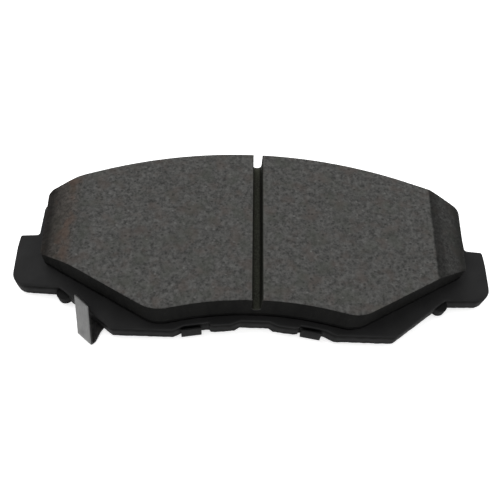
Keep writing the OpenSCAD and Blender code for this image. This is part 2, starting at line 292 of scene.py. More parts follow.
class Shader:
    """A node material built round one Principled shader, with patterns in the object's own metres."""

    def __init__(self, name, **settings):
        self.material = bpy.data.materials.new(name)
        self.material.use_nodes = True
        self.tree = self.material.node_tree
        self.surface = self.tree.nodes["Principled BSDF"]
        self.place = self.add("ShaderNodeTexCoord").outputs["Object"]
        for socket, value in settings.items():
            self.set(socket.replace("_", " "), value)

    def add(self, kind, attributes=None, **inputs):
        made = self.tree.nodes.new(kind)
        for key, value in (attributes or {}).items():
            setattr(made, key, value)
        for key, value in inputs.items():
            self.feed(made.inputs[key.replace("_", " ")], value)
        return made

    def feed(self, socket, value):
        if isinstance(value, bpy.types.NodeSocket):
            self.tree.links.new(value, socket)
        elif socket.type == "RGBA" and len(value) == 3:
            socket.default_value = (*value, 1)
        else:
            socket.default_value = value

    def set(self, socket, value):
        self.feed(self.surface.inputs[socket], value)

    def stretched(self, x, y, z, turn=0.0):
        """The place with each axis scaled, after a turn about Z."""
        made = self.add("ShaderNodeMapping", Vector=self.place)
        made.inputs["Rotation"].default_value = (0, 0, turn)
        made.inputs["Scale"].default_value = (x, y, z)
        return made.outputs["Vector"]

    def noise(self, size, detail=2.0, roughness=0.5, distortion=0.0, place=None):
        made = self.add("ShaderNodeTexNoise", Scale=1 / size, Detail=detail, Roughness=roughness,
                        Distortion=distortion, Vector=place or self.place)
        return made.outputs["Factor" if "Factor" in made.outputs else "Fac"]

    def cells(self, size, output="Distance", feature="F1", randomness=1.0, place=None):
        made = self.add("ShaderNodeTexVoronoi", {"feature": feature}, Scale=1 / size,
                        Randomness=randomness, Vector=place or self.place)
        return made.outputs[output]

    def ramp(self, value, low, high, start=0.0, end=1.0):
        """value mapped so that low gives start and high gives end, held beyond them."""
        made = self.add("ShaderNodeMapRange", {"clamp": True})
        self.feed(made.inputs["Value"], value)
        for key, number in (("From Min", low), ("From Max", high), ("To Min", start), ("To Max", end)):
            made.inputs[key].default_value = number
        return made.outputs["Result"]

    def math(self, operation, a, b=0.0):
        made = self.add("ShaderNodeMath", {"operation": operation})
        self.feed(made.inputs[0], a)
        self.feed(made.inputs[1], b)
        return made.outputs[0]

    def blend(self, amount, a, b, mode="MIX"):
        """Colour a, with b over it by amount."""
        made = self.add("ShaderNodeMix", {"data_type": "RGBA", "blend_type": mode})
        self.feed(made.inputs[0], amount)
        for at, value in ((6, a), (7, b)):
            self.feed(made.inputs[at], value)
        return made.outputs[2]

    def axis(self, name):
        """The object's own X, Y or Z, in metres."""
        return self.add("ShaderNodeSeparateXYZ", Vector=self.place).outputs[name]

    def profile(self, value, stops):
        """A number drawn along value, as (value, number) stops joined by straight lines."""
        low, high = stops[0][0], stops[-1][0]
        made = self.add("ShaderNodeValToRGB", Fac=self.ramp(value, low, high))
        line = made.color_ramp.elements
        while len(line) < len(stops):
            line.new(0.5)
        for element, (at, number) in zip(line, stops):
            element.position = (at - low) / (high - low)
            element.color = (number, number, number, 1)
        return made.outputs["Color"]

    def edges(self, radius):
        """1 along sharp outer edges, falling to 0 on open faces, from how the bevelled normal turns."""
        bevel = self.add("ShaderNodeBevel", {"samples": 4}, Radius=radius).outputs["Normal"]
        true = self.add("ShaderNodeNewGeometry").outputs["Normal"]
        dot = self.add("ShaderNodeVectorMath", {"operation": "DOT_PRODUCT"})
        self.feed(dot.inputs[0], bevel)
        self.feed(dot.inputs[1], true)
        return self.ramp(dot.outputs["Value"], 0.995, 0.90)

    def bump(self, height, depth, below=None):
        """A normal for a height between 0 and 1 that stands for that many metres of depth."""
        made = self.add("ShaderNodeBump", Height=height, Distance=depth, Strength=1.0)
        if below is not None:
            self.feed(made.inputs["Normal"], below)
        self.set("Normal", made.outputs["Normal"])
        return made.outputs["Normal"]


def ground_compound():
    """The ground friction face: grey matrix, dark rubber and graphite clumps, pale mineral and steel flecks.
    The end chamfers are darkened with painted shade, more so towards the ends."""
    s = Shader("ground_compound", Specular_IOR_Level=0.08, Roughness=0.85)
    coarse = s.noise(1.35 * MM, detail=3, roughness=0.6, distortion=0.3)
    fine = s.noise(0.55 * MM, detail=3, roughness=0.6)
    grain = s.math("ADD", s.math("MULTIPLY", coarse, 0.6), s.math("MULTIPLY", fine, 0.4))
    matrix = s.blend(s.ramp(grain, 0.36, 0.64), (0.026, 0.0258, 0.0248), (0.079, 0.0785, 0.0755))
    warm = s.ramp(s.noise(4.5 * MM, detail=2), 0.50, 0.68, 0.0, 0.55)
    matrix = s.blend(warm, matrix, (0.057, 0.048, 0.043))
    green = s.ramp(s.noise(5.5 * MM, detail=2, place=s.stretched(1, 1, 1, 1.1)), 0.52, 0.70, 0.0, 0.5)
    matrix = s.blend(green, matrix, (0.044, 0.047, 0.040))
    clump = s.cells(1.9 * MM, place=s.stretched(1, 1.3, 1, 0.4))
    dark = s.math("MULTIPLY", s.ramp(clump, 0.14, 0.34, 1.0, 0.0), s.ramp(coarse, 0.42, 0.56))
    matrix = s.blend(s.math("MULTIPLY", dark, 0.6), matrix, (0.012, 0.012, 0.0115))
    pale = s.ramp(s.cells(3.1 * MM, place=s.stretched(1, 1.25, 1, 0.6)), 0.05, 0.16, 1.0, 0.0)
    patchy = s.ramp(s.noise(2.4 * MM, detail=1), 0.45, 0.6)
    matrix = s.blend(s.math("MULTIPLY", s.math("MULTIPLY", pale, patchy), 0.6), matrix, (0.12, 0.12, 0.115))
    fibre = s.ramp(s.cells(7.5 * MM, place=s.stretched(1, 3.2, 1, 0.5)), 0.03, 0.05, 1.0, 0.0)
    matrix = s.blend(s.math("MULTIPLY", fibre, 0.5), matrix, (0.20, 0.20, 0.19))
    left_end = s.ramp(s.axis("X"), -53 * MM, -56 * MM)
    rust = s.math("MULTIPLY", left_end, s.ramp(warm, 0.0, 0.5, 0.5, 1.0))
    matrix = s.blend(rust, matrix, (1.24, 1.03, 0.92), mode="MULTIPLY")
    # painted shade on the end chamfers, multiplied over the compound's colour
    s.set("Base Color", s.blend(1.0, matrix, chamfer_painted_shade(s), mode="MULTIPLY"))
    s.set("Metallic", s.math("MULTIPLY", fibre, 0.5))
    grind = s.noise(0.9 * MM, detail=2, place=s.stretched(0.12, 1.6, 1, 0.05))
    relief = s.math("ADD", s.math("MULTIPLY", grain, 0.8), s.math("MULTIPLY", grind, 0.25))
    s.bump(s.math("SUBTRACT", relief, s.math("MULTIPLY", dark, 0.5)), 0.07 * MM)
    return s.material


def chamfer_painted_shade(s):
    """Painted shade on the end chamfers: how much of the face's tone each keeps, by distance past the leaning
    chamfer line.
    """
    lean = s.math("MULTIPLY", s.axis("Y"), -CHAMFER_LEAN)
    past = s.math("ADD", s.math("ABSOLUTE", s.axis("X")), lean)
    patchy = s.math("MULTIPLY", s.math("SUBTRACT", s.noise(2.2 * MM, detail=3), 0.5), 0.5 * MM)
    past = s.math("ADD", past, patchy)
    # painted shade: the left chamfer darkens towards its end, the right one has a dark line at its start
    left = ((49, 1.0), (54, 0.84), (58, 0.64), (60.5, 0.42), (62, 0.18))
    right = ((52.7, 1.0), (53.3, 0.30), (55.2, 0.35), (57.4, 0.56), (60, 0.50), (62.5, 0.26))
    left, right = (s.profile(past, [(x * MM, tone) for x, tone in stops]) for stops in (left, right))
    return s.blend(s.ramp(s.axis("X"), -1 * MM, 1 * MM), left, right)


def moulded_skin(name, low, high):
    """The block's moulded side walls: dark, resin-rich skin, with faint streaks from the mould, and painted
    contact shade that darkens them along the joint with the plate."""
    s = Shader(name, Specular_IOR_Level=0.01)
    grain = s.noise(0.7 * MM, detail=4, roughness=0.65)
    streak = s.noise(1.6 * MM, detail=2, place=s.stretched(1, 1, 0.16))
    tone = s.blend(s.ramp(grain, 0.3, 0.7), low, high)
    tone = s.blend(s.ramp(streak, 0.45, 0.7, 0.0, 0.5), tone, low)
    dust = s.ramp(s.cells(1.7 * MM), 0.05, 0.12, 0.5, 0.0)
    tone = s.blend(dust, tone, (0.025, 0.025, 0.023))
    # painted contact shade: near black at the joint with the plate, fading out 1.6 mm above it
    joint = heights("friction_bond")[1]
    joint_painted_shade = s.profile(s.axis("Z"), [(joint, 0.1), (joint + 0.75 * MM, 0.2), (joint + 1.6 * MM, 1.0)])
    s.set("Base Color", s.blend(1.0, tone, joint_painted_shade, mode="MULTIPLY"))
    s.set("Roughness", s.ramp(grain, 0.3, 0.7, 0.55, 0.85))
    s.bump(s.math("ADD", grain, s.math("MULTIPLY", streak, 0.4)), 0.05 * MM)
    return s.material


def bond_film():
    """Cured phenolic adhesive, squeezed out as a thin glossy black line."""
    s = Shader("bond_film", Specular_IOR_Level=0.01)
    lumps = s.noise(1.4 * MM, detail=3)
    s.set("Base Color", s.blend(lumps, (0.001, 0.001, 0.001), (0.003, 0.0027, 0.0025)))
    s.set("Roughness", s.ramp(lumps, 0.3, 0.7, 0.25, 0.5))
    s.bump(lumps, 0.08 * MM)
    return s.material


def plate_paint():
    """Satin black powder coat over blanked steel: fine orange peel, dust, and painted shade on the sheared
    edge, in a dark band just under the rolled-over rim and darker towards the bottom."""
    s = Shader("plate_paint", Specular_IOR_Level=0.02)
    z_high = heights("backing_plate")[1]
    peel = s.noise(0.45 * MM, detail=2, roughness=0.5)
    cloud = s.noise(7 * MM, detail=3)
    tone = s.blend(s.ramp(cloud, 0.35, 0.65), (0.0166, 0.0166, 0.0168), (0.0202, 0.0202, 0.0204))
    speck = s.ramp(s.cells(2.1 * MM), 0.035, 0.07, 0.3, 0.0)
    tone = s.blend(speck, tone, (0.035, 0.035, 0.034))
    # painted shade on the sheared edge: darker towards the bottom and in a band just under the rolled-over
    # rim
    height = s.math("ADD", s.axis("Z"), s.math("MULTIPLY", s.noise(2.5 * MM), 0.3 * MM))
    band = s.profile(height, [(z_high - down * MM, amount) for down, amount in
                              ((5.2, 0.75), (4.4, 0.35), (2.3, 0.30), (1.6, 0.92), (0.7, 0.92), (0.2, 0.0))])
    tone = s.blend(band, tone, (0.002, 0.002, 0.002))
    worn = s.math("MULTIPLY", s.edges(0.25 * MM), s.ramp(s.noise(1.3 * MM, detail=4), 0.5, 0.68))
    s.set("Base Color", s.blend(worn, tone, (0.03, 0.029, 0.028)))
    s.set("Roughness", s.ramp(s.noise(2.5 * MM, detail=4), 0.3, 0.7, 0.5, 0.65))
    s.bump(peel, 0.012 * MM)
    return s.material


def shim_rubber():
    """Nitrile rubber coat: dull black, with a fine calendered texture and a few scuffs."""
    s = Shader("shim_rubber", Specular_IOR_Level=0.25)
    fine = s.noise(0.25 * MM, detail=3)
    scuff = s.ramp(s.noise(2 * MM, detail=5, place=s.stretched(0.2, 2.5, 1, 0.3)), 0.6, 0.75, 0.0, 0.5)
    tone = s.blend(fine, (0.012, 0.012, 0.012), (0.022, 0.022, 0.021))
    s.set("Base Color", s.blend(scuff, tone, (0.045, 0.045, 0.043)))
    s.set("Roughness", s.ramp(fine, 0.3, 0.7, 0.6, 0.8))
    s.bump(fine, 0.01 * MM)
    return s.material


def adhesive_film():
    """Pressure-sensitive acrylic film: amber grey, slightly glossy."""
    s = Shader("adhesive_film")
    cloud = s.noise(3 * MM, detail=3)
    s.set("Base Color", s.blend(cloud, (0.42, 0.38, 0.29), (0.55, 0.52, 0.43)))
    s.set("Roughness", s.ramp(cloud, 0.3, 0.7, 0.3, 0.5))
    s.bump(cloud, 0.02 * MM)
    return s.material


def brushed_steel(name, dark, light, turn, roughness, grain_size=0.09 * MM):
    """Rolled steel strip with drawn lines along it, faint stains and small scratches."""
    s = Shader(name, Metallic=1.0, Anisotropic=0.4)
    drawn = s.noise(grain_size, detail=3, roughness=0.6, place=s.stretched(1, 0.05, 0.05, turn))
    stain = s.noise(2.6 * MM, detail=4)
    tone = s.blend(s.ramp(drawn, 0.25, 0.75), dark, light)
    tone = s.blend(s.ramp(stain, 0.5, 0.75, 0.0, 0.45), tone, dark)
    scratch = s.ramp(s.cells(1.9 * MM, place=s.stretched(1, 0.08, 1, turn + 0.5)), 0.012, 0.03, 0.5, 0.0)
    s.set("Base Color", s.blend(scratch, tone, tuple(min(1.0, 1.4 * c) for c in light)))
    s.set("Roughness", s.ramp(stain, 0.3, 0.7, roughness - 0.06, roughness + 0.08))
    s.bump(drawn, 0.004 * MM)
    return s.material


def painted_shade_steel():
    """The strip's inner side and foot: a blue-black steel whose darkness is painted shade, with grey worn
    streaks showing through.
    """
    s = Shader("painted_shade_steel", Metallic=0.3, Specular_IOR_Level=0.1)
    scale = s.noise(1.1 * MM, detail=5, roughness=0.6)
    streak = s.noise(0.5 * MM, detail=3, place=s.stretched(1, 0.15, 1, STRIP_TURN))
    tone = s.blend(s.ramp(scale, 0.3, 0.7), (0.008, 0.008, 0.009), (0.028, 0.027, 0.026))
    s.set("Base Color", s.blend(s.ramp(streak, 0.55, 0.75, 0.0, 0.5), tone, (0.06, 0.058, 0.055)))
    s.set("Roughness", s.ramp(scale, 0.3, 0.7, 0.45, 0.65))
    s.bump(scale, 0.02 * MM)
    return s.material


def coated_steel():
    """Black coil-coated sheet with rub marks and bare steel along its cut edges."""
    s = Shader("coated_steel", Specular_IOR_Level=0.02)
    fine = s.noise(0.4 * MM, detail=3)
    rub = s.ramp(s.noise(3 * MM, detail=5, place=s.stretched(0.15, 2.0, 1, 0.1)), 0.58, 0.72, 0.0, 0.6)
    tone = s.blend(fine, (0.008, 0.008, 0.0081), (0.0135, 0.0135, 0.0136))
    tone = s.blend(rub, tone, (0.024, 0.024, 0.0236))
    bare = s.math("MULTIPLY", s.edges(0.08 * MM), s.ramp(s.noise(0.8 * MM, detail=4), 0.4, 0.6, 0.0, 0.6))
    s.set("Base Color", s.blend(bare, tone, (0.12, 0.12, 0.118)))
    s.set("Metallic", s.math("MULTIPLY", bare, 0.6))
    s.set("Roughness", s.ramp(fine, 0.3, 0.7, 0.36, 0.5))
    s.bump(fine, 0.006 * MM)
    return s.material


# ---------------------------------------------------------------- backing plate

def circle_through(points):
    """Centre and radius of the circle nearest to the points."""
    sums = np.column_stack([2 * points, np.ones(len(points))])
    (x, y, rest), *_ = np.linalg.lstsq(sums, (points ** 2).sum(1), rcond=None)
    return np.array([x, y]), math.sqrt(rest + x * x + y * y)


def sheared_wall(loop, z_low, z_high, roll=0.42 * MM):
    """Rings up a blanked edge: a torn band below, a smooth band above it, and an upper edge that rolls over
    by roll, which is one width or one for each point."""
    torn_band = [(0.16, 0.00), (0.10, 0.06), (0.08, 0.20), (0.07, 0.60), (0.06, 1.20), (0.03, 1.90),
                 (0.0, 2.3)]
    rollover = [(0.0, 1.2), (0.04, 0.83), (0.13, 0.5), (0.30, 0.24), (0.57, 0.08), (1.0, 0.0)]
    rings = []
    for amount, up in torn_band:
        torn = amount * MM * np.array([1 + 0.9 * noise_at(x, y, up * MM, 1.1 * MM) for x, y in loop])
        rings.append(ring(inset(loop, np.maximum(torn, 0)), z_low + up * MM))
    rings += [ring(inset(loop, amount * roll), z_high - down * roll) for amount, down in rollover]
    return rings


def die_roll(loop):
    """How wide the plate's rolled-over edge is at each point: narrow along the fine steps at mid-length."""
    narrow, wide = 0.42 * MM, 0.72 * MM
    steps_end, change = 21 * MM, 4 * MM
    across = np.abs(loop[:, 0])
    lower = (across < steps_end + change) & (loop[:, 1] < 0)
    share = np.where(lower, np.clip((across - steps_end) / change, 0, 1), 1)
    return narrow + (wide - narrow) * share


def countersunk_wall(loop, mouth, z_low, z_high):
    """Rings up a round hole that opens at the top, at 45 degrees, to the mouth's outline."""
    wide = math.sqrt(abs(signed_area(mouth)) / math.pi) - math.sqrt(abs(signed_area(loop)) / math.pi)
    return [ring(loop, z_low), ring(loop, z_high - wide), ring(inset(loop, -wide), z_high)]


def lug_solids(lower, upper, z_low, z_high, paint):
    """The half-pierced lugs, each where the lower outline swings out past the upper one."""
    shared = smoothed(upper, 0.2 * MM)
    clear = np.array([float(np.min(np.linalg.norm(shared - p, axis=1))) > 0.3 * MM for p in lower])
    bm = welded_mesh("backing_plate")
    steps = [v.co.copy() for v in bm.verts if z_low + 0.1 * MM < v.co.z < z_high - 0.1 * MM]
    bm.free()
    lugs = []
    for side in (-1, 1):
        centre, radius = circle_through(lower[clear & (side * lower[:, 0] > 0)])
        top = max(p.z for p in steps if np.linalg.norm(np.array(p[:2]) - centre) < 1.1 * radius)
        turns = np.radians(np.arange(0, 360, 9))
        rings = sheared_wall(centre + radius * np.column_stack([np.cos(turns), np.sin(turns)]), z_low, top)
        solid = Solid()
        solid.wall(rings)
        solid.cap([rings[0][:, :2]], lambda x, y: z_low, 1 * MM, up=False)
        solid.cap([rings[-1][:, :2]], lambda x, y, z=top: z, 1 * MM, up=True)
        lugs.append(solid.finish("lug", [paint]))
    return lugs


def backing_plate():
    """A blanked plate, with its two retention holes, its countersunk rivet hole and its low lugs."""
    z_low, z_high = heights("backing_plate")
    lower, upper = cap_loops("backing_plate", z_low), cap_loops("backing_plate", z_high)
    rim = smoothed(upper[0], 0.7 * MM)
    walls = [sheared_wall(rim, z_low, z_high, die_roll(rim))]
    for loop in lower[1:]:
        matching = min(upper[1:], key=lambda other: np.linalg.norm(other.mean(0) - loop.mean(0)))
        loop = smoothed(loop, 0.8 * MM)
        if abs(signed_area(matching)) > 1.2 * abs(signed_area(loop)):
            walls.append(countersunk_wall(loop, matching, z_low, z_high))
        else:
            walls.append(sheared_wall(loop, z_low, z_high))
    solid = Solid()
    for rings in walls:
        solid.wall(rings)
    solid.cap([rings[0][:, :2] for rings in walls], lambda x, y: z_low, 4 * MM, up=False)
    solid.cap([rings[-1][:, :2] for rings in walls], lambda x, y: z_high, 4 * MM, up=True)
    paint = plate_paint()
    piece = solid.finish("stamped_plate", [paint])
    united(piece, lug_solids(lower[0], upper[0], z_low, z_high, paint))
    stands_for(piece, "backing_plate")


# ---------------------------------------------------------------- friction block

def chamfer_planes():
    """A point and a normal of each end chamfer, read from the CAD lining."""
    low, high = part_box("friction_lining")
    bm = welded_mesh("friction_lining")
    planes = []
    for side in (-1, 1):
        sloped = [f for f in bm.faces
                  if 0.5 < f.normal.z < 0.999 and side * f.calc_center_median().x > 0.5 * high.x]
        face = max(sloped, key=lambda f: f.calc_area())
        planes.append((face.calc_center_median().copy(), face.normal.copy()))
    bm.free()
    return planes


def friction_lining():
    """The lining: ground face with fine pits, ground end chamfers, a sawn slot, worn and chipped edges."""
    z_low, z_face = heights("friction_lining")
    planes = chamfer_planes()
    outline = smoothed(cap_loops("friction_lining", z_low)[0], 0.7 * MM)
    face_loops = cap_loops("friction_lining", z_face)
    half_slot = min(float(np.abs(loop[:, 0]).min()) for loop in face_loops)
    bm = welded_mesh("friction_lining")
    floor = min(v.co.z for v in bm.verts if abs(v.co.x) < 1.01 * half_slot and v.co.z > z_low + 0.1 * MM)
    bm.free()

    def chamfered(x, y):
        """Height of the ground surface: crowned end chamfers, the left one with a worn, rounded start."""
        wear, wear_reach = 0.3 * MM, 0.6 * MM
        full_drop, crowning = 4.5 * MM, 0.12
        at, normal = planes[0 if x < 0 else 1]
        drop = z_face - at.z + (normal.x * (x - at.x) + normal.y * (y - at.y)) / normal.z
        if x < 0:
            worn = drop - wear
            drop = (worn + math.hypot(worn, wear_reach)) / 2
        drop = max(drop, 0.0)
        return z_face - drop * (drop / full_drop) ** crowning

    def pit(x, y):
        """How far the ground surface stands below its ideal height."""
        rough = 0.5 + 0.5 * noise_at(x, y, 0.0, 1.3 * MM, 2)
        hole = max(0.0, noise_at(x, y, 0.03, 2.2 * MM, 2) - 0.45)
        return (0.03 * rough + 0.25 * hole) * MM

    # The slot's cross-section, from its left rim to its right one, as places across and heights
    rim = 0.22 * MM
    draft = 0.004 * MM
    radius = half_slot - 4 * draft
    walls = [(half_slot + rim, z_face), (half_slot + 0.3 * rim, z_face - 0.12 * rim),
             (half_slot, z_face - rim)]
    depth = z_face - rim - (floor + radius)
    walls += [(half_slot - k * draft, z_face - rim - depth * k / 4) for k in (1, 2, 3, 4)]
    turns = np.radians(np.linspace(0, 180, 13))[1:-1]
    section = [(-x, z) for x, z in walls]
    section += [(-radius * math.cos(a), floor + radius - radius * math.sin(a)) for a in turns]
    section += [(x, z) for x, z in reversed(walls)]
    stations = np.array([x for x, _ in section])
    drops = np.array([z_face - z for _, z in section])

    # The outline with the slot's stations in place of its own points there
    reach = half_slot + rim + 0.3 * MM
    right = outline[:, 0] > reach
    first = int(np.nonzero(right & ~np.roll(right, 1))[0][0])
    outline = np.roll(outline, -first, 0)
    side_r = outline[outline[:, 0] > reach]
    side_l = outline[outline[:, 0] < -reach]

    def crossing(upper):
        """The outline's points at the slot's stations, on its upper or its lower side."""
        near = outline[(np.abs(outline[:, 0]) < 4 * reach) & ((outline[:, 1] > 0) == upper)]
        near = near[np.argsort(near[:, 0])]
        return np.column_stack([stations, np.interp(stations, near[:, 0], near[:, 1])])

    top_cross, low_cross = crossing(True)[::-1], crossing(False)
    outline = np.concatenate([side_r, top_cross, side_l, low_cross])
    n_r, n_s, n_l = len(side_r), len(stations), len(side_l)
    at_top = np.arange(n_r, n_r + n_s)
    at_low = np.arange(n_r + n_s + n_l, n_r + 2 * n_s + n_l)
    drop = np.zeros(len(outline))
    drop[at_top] = drops[::-1]
    drop[at_low] = drops
    at_slot = drop > 0

    # Walls: a slightly rough moulded side, then a worn rim with small chips
    chip = np.array([max(0.0, noise_at(x, y, 0.01, 1.5 * MM) - 0.35) for x, y in outline])
    soft = np.where(at_slot, 0.1, 0.15 + 0.3 * chip) * MM
    top = np.array([chamfered(x, y) for x, y in outline]) - drop
    rings = []
    for share in (0, 0.06, 0.25, 0.5, 0.75, 0.9, 1.0):
        z = z_low + share * (top - soft - z_low)
        rough = np.array([0.03 + 0.05 * noise_at(x, y, h, 2.5 * MM) for (x, y), h in zip(outline, z)])
        base = 0.08 if share == 0 else 0
        rings.append(ring(inset(outline, np.maximum(rough + base, 0) * MM), z))
    for turn in np.radians((30, 60, 90)):
        moved = inset(outline, 0.03 * MM + soft * (1 - math.cos(turn)))
        rings.append(ring(moved, top - soft * (1 - math.sin(turn))))
    edge = rings[-1][:, :2]
    rings[-1][:, 2] = [chamfered(x, y) - pit(x, y) for x, y in edge] - drop
    solid = Solid()
    solid.wall(rings[:7], slot=1)
    solid.wall(rings[6:], slot=0)

    # The sawn slot, between its two ends
    low_end, top_end = rings[-1][at_low], rings[-1][at_top][::-1]
    shares = np.linspace(0, 1, 61)
    rows = []
    for share in shares:
        row = low_end + (top_end - low_end) * share
        for k, (x, y, _) in enumerate(row):
            saw = 0.02 * MM * noise_at(0.0, y, row[k][0], 0.8 * MM)
            wobble = saw if 0 < share < 1 and drops[k] > 0 else 0.0
            row[k] = (x + wobble, y, chamfered(x, y) - pit(x, y) - drops[k])
        row[0][2] = chamfered(*row[0][:2]) - pit(*row[0][:2])
        rows.append(row)
    solid.strip(rows, slot=2)

    # The two ground faces, each with its chamfer line kept as an edge
    def ridge(side):
        """Points along the line where the end chamfer meets the face."""
        at, normal = planes[0 if side < 0 else 1]
        y = np.linspace(edge[:, 1].min(), edge[:, 1].max(), 90)
        x = at.x + (at.z - z_face - normal.y * (y - at.y)) / normal.x
        line = np.column_stack([x, y])
        return line[inside(line, [edge])]

    for side, own in ((1, edge[:n_r]), (-1, edge[n_r + n_s:n_r + n_s + n_l])):
        rim_line = np.array([row[-1 if side > 0 else 0][:2] for row in rows])
        loop = np.concatenate([own, rim_line[::-1] if side > 0 else rim_line])
        solid.cap([loop], lambda x, y: chamfered(x, y) - pit(x, y), 0.8 * MM, up=True, lines=[ridge(side)])
    solid.cap([rings[0][:, :2]], lambda x, y: z_low, 3 * MM, up=False, slot=1)
    skin = moulded_skin("moulded_skin", (0.0045, 0.0045, 0.0045), (0.0112, 0.0112, 0.0106))
    piece = solid.finish("friction_block", [ground_compound(), skin, sawn_compound()], sharp=math.radians(50))
    stands_for(piece, "friction_lining")


def sawn_compound():
    """The slot's walls and floor: the compound as the saw leaves it, dusty, with a faint olive tint, and
    painted shade on its walls and rims and towards its lower end.
    """
    s = Shader("sawn_compound", Specular_IOR_Level=0.1, Roughness=0.9)
    grain = s.noise(0.6 * MM, detail=3)
    tone = s.blend(s.ramp(grain, 0.3, 0.7), (0.025, 0.026, 0.020), (0.064, 0.066, 0.053))
    tone = s.blend(s.ramp(s.noise(4 * MM), 0.4, 0.7, 0, 0.6), tone, (0.044, 0.047, 0.034))
    # painted shade: darker away from the middle of the slot's floor, over its walls and rims, and towards its
    # lower end
    across = s.profile(s.math("ABSOLUTE", s.axis("X")),
                       [(0.0, 1.0), (0.7 * MM, 0.95), (1.1 * MM, 0.35), (1.7 * MM, 0.25)])
    along = s.profile(s.axis("Y"), [(-25.5 * MM, 0.35), (-23.5 * MM, 0.7), (-15 * MM, 1.0)])
    shade = s.blend(1.0, across, along, mode="MULTIPLY")
    s.set("Base Color", s.blend(1.0, tone, shade, mode="MULTIPLY"))
    s.bump(s.noise(0.5 * MM, detail=3, place=s.stretched(1, 0.3, 1)), 0.06 * MM)
    return s.material


def underlayer():
    """The underlayer: its foot is undercut to a groove, and its keys fill the plate's retention holes."""
    z_low, z_high = heights("underlayer")
    z_joint = heights("friction_bond")[1]
    _, *keys = cap_loops("friction_bond", z_joint)
    outline = smoothed(cap_loops("underlayer", z_high)[0], 0.8 * MM)
    solid = Solid()
    levels = [(0.62, 0.0), (0.55, 0.25), (0.34, 0.55), (0.10, 0.80), (0.03, 1.0)]
    rings = []
    for amount, up in levels:
        rough = [amount + 0.07 * noise_at(x, y, up * MM, 1.8 * MM) for x, y in outline]
        rings.append(ring(inset(outline, np.maximum(rough, 0) * MM), z_joint + up * MM))
    rings.append(ring(inset(outline, 0.03 * MM), z_high - 0.1 * MM))
    rings.append(ring(inset(outline, 0.10 * MM), z_high))
    solid.wall(rings)
    solid.cap([rings[-1][:, :2]], lambda x, y: z_high, 4 * MM, up=True)
    necks = []
    for key in keys:
        key = inset(smoothed(key[::-1], 0.8 * MM), 0.05 * MM)
        levels = [(0.3, 0.0), (0.09, 0.09), (0.0, 0.3)]
        foot = [ring(inset(key, amount * MM), z_low + up * MM) for amount, up in levels]
        solid.wall(foot + [ring(key, z_joint)])
        solid.cap([foot[0][:, :2]], lambda x, y: z_low, 2 * MM, up=False)
        necks.append(key)
    solid.cap([rings[0][:, :2], *necks], lambda x, y: z_joint, 4 * MM, up=False)
    skin = moulded_skin("underlayer_skin", (0.003, 0.003, 0.003), (0.007, 0.007, 0.007))
    piece = solid.finish("moulded_underlayer", [skin])
    stands_for(piece, "underlayer")


def friction_bond():
    """The bond film, squeezed out into an uneven bead in the groove at the block's foot."""
    z_low, z_high = heights("friction_bond")
    outer, *keys = cap_loops("friction_bond", z_high)
    outline = smoothed(outer, 0.7 * MM)
    swell = np.array([0.30 + 0.14 * noise_at(x, y, 0.0, 2.6 * MM) for x, y in outline])
    solid = Solid()
    rings = [ring(inset(outline, (swell + more) * MM), z_low + up * (z_high - z_low))
             for more, up in ((0.04, 0.0), (0.0, 0.35), (0.03, 0.75), (0.12, 1.0))]
    solid.wall(rings)
    holes = []
    for key in keys:
        hole = smoothed(key, 0.8 * MM)
        solid.wall([ring(hole, z_low), ring(hole, z_high)])
        holes.append(hole)
    solid.cap([rings[0][:, :2], *holes], lambda x, y: z_low, 4 * MM, up=False)
    solid.cap([rings[-1][:, :2], *holes], lambda x, y: z_high, 4 * MM, up=True)
    piece = solid.finish("bond_bead", [bond_film()])
    stands_for(piece, "friction_bond")


# ---------------------------------------------------------------- shims

def shim_layer(node, name, material, shrink, waver):
    """One flat layer of the damping shim. Its edge is soft, and drawn in by shrink with a little waver."""
    z_low, z_high = heights(node)
    middle, half = (z_low + z_high) / 2, (z_high - z_low) / 2
    solid = Solid()
    ends = []
    for loop in cap_loops(node, z_high):
        loop = smoothed(loop, 1.2 * MM)
        uneven = np.array([shrink + waver * (1 + noise_at(x, y, z_low, 3 * MM)) for x, y in loop])
        rings = []
        for turn in np.radians((-90, -45, 0, 45, 90)):
            edge = inset(loop, uneven + half * (1 - math.cos(turn)))
            rings.append(ring(edge, middle + half * math.sin(turn)))
        solid.wall(rings)
        ends.append(rings[0][:, :2])
    solid.cap(ends, lambda x, y: z_low, 5 * MM, up=False)
    solid.cap(ends, lambda x, y: z_high, 5 * MM, up=True)
    piece = solid.finish(name, [material])
    stands_for(piece, node)


def damping_shim():
    """The bonded shim's four layers: its adhesive, and a steel core between two rubber coats."""
    rubber = shim_rubber()
    core = brushed_steel("shim_core_steel", (0.38, 0.38, 0.38), (0.55, 0.55, 0.55), 0.0, 0.35)
    shim_layer("shim_adhesive", "shim_adhesive_film", adhesive_film(), 0.15 * MM, 0.12 * MM)
    shim_layer("shim_inner_coat", "shim_rubber_inner", rubber, 0.04 * MM, 0.03 * MM)
    shim_layer("shim_core", "shim_steel_core", core, 0.0, 0.0)
    shim_layer("shim_outer_coat", "shim_rubber_outer", rubber, 0.04 * MM, 0.03 * MM)


def cover_shim():
    """The clip-on shim with its folded tabs: the CAD sheet with rounded cut edges."""
    bm = welded_mesh("cover_shim")
    bmesh.ops.dissolve_limit(bm, angle_limit=math.radians(0.5), verts=bm.verts, edges=bm.edges)
    sharp = [e for e in bm.edges if e.is_manifold and e.calc_face_angle() > math.radians(40)]
    bmesh.ops.bevel(bm, geom=sharp, offset=0.07 * MM, segments=2, profile=0.5, affect="EDGES")
    bmesh.ops.triangulate(bm, faces=bm.faces)
    back = heights("cover_shim")[0]
    for v in bm.verts:
        v.co.z = max(v.co.z, back)
    solid = Solid()
    solid.bm = bm
    piece = solid.finish("clip_on_shim", [coated_steel()])
    stands_for(piece, "cover_shim")


# ---------------------------------------------------------------- wear indicator and rivet

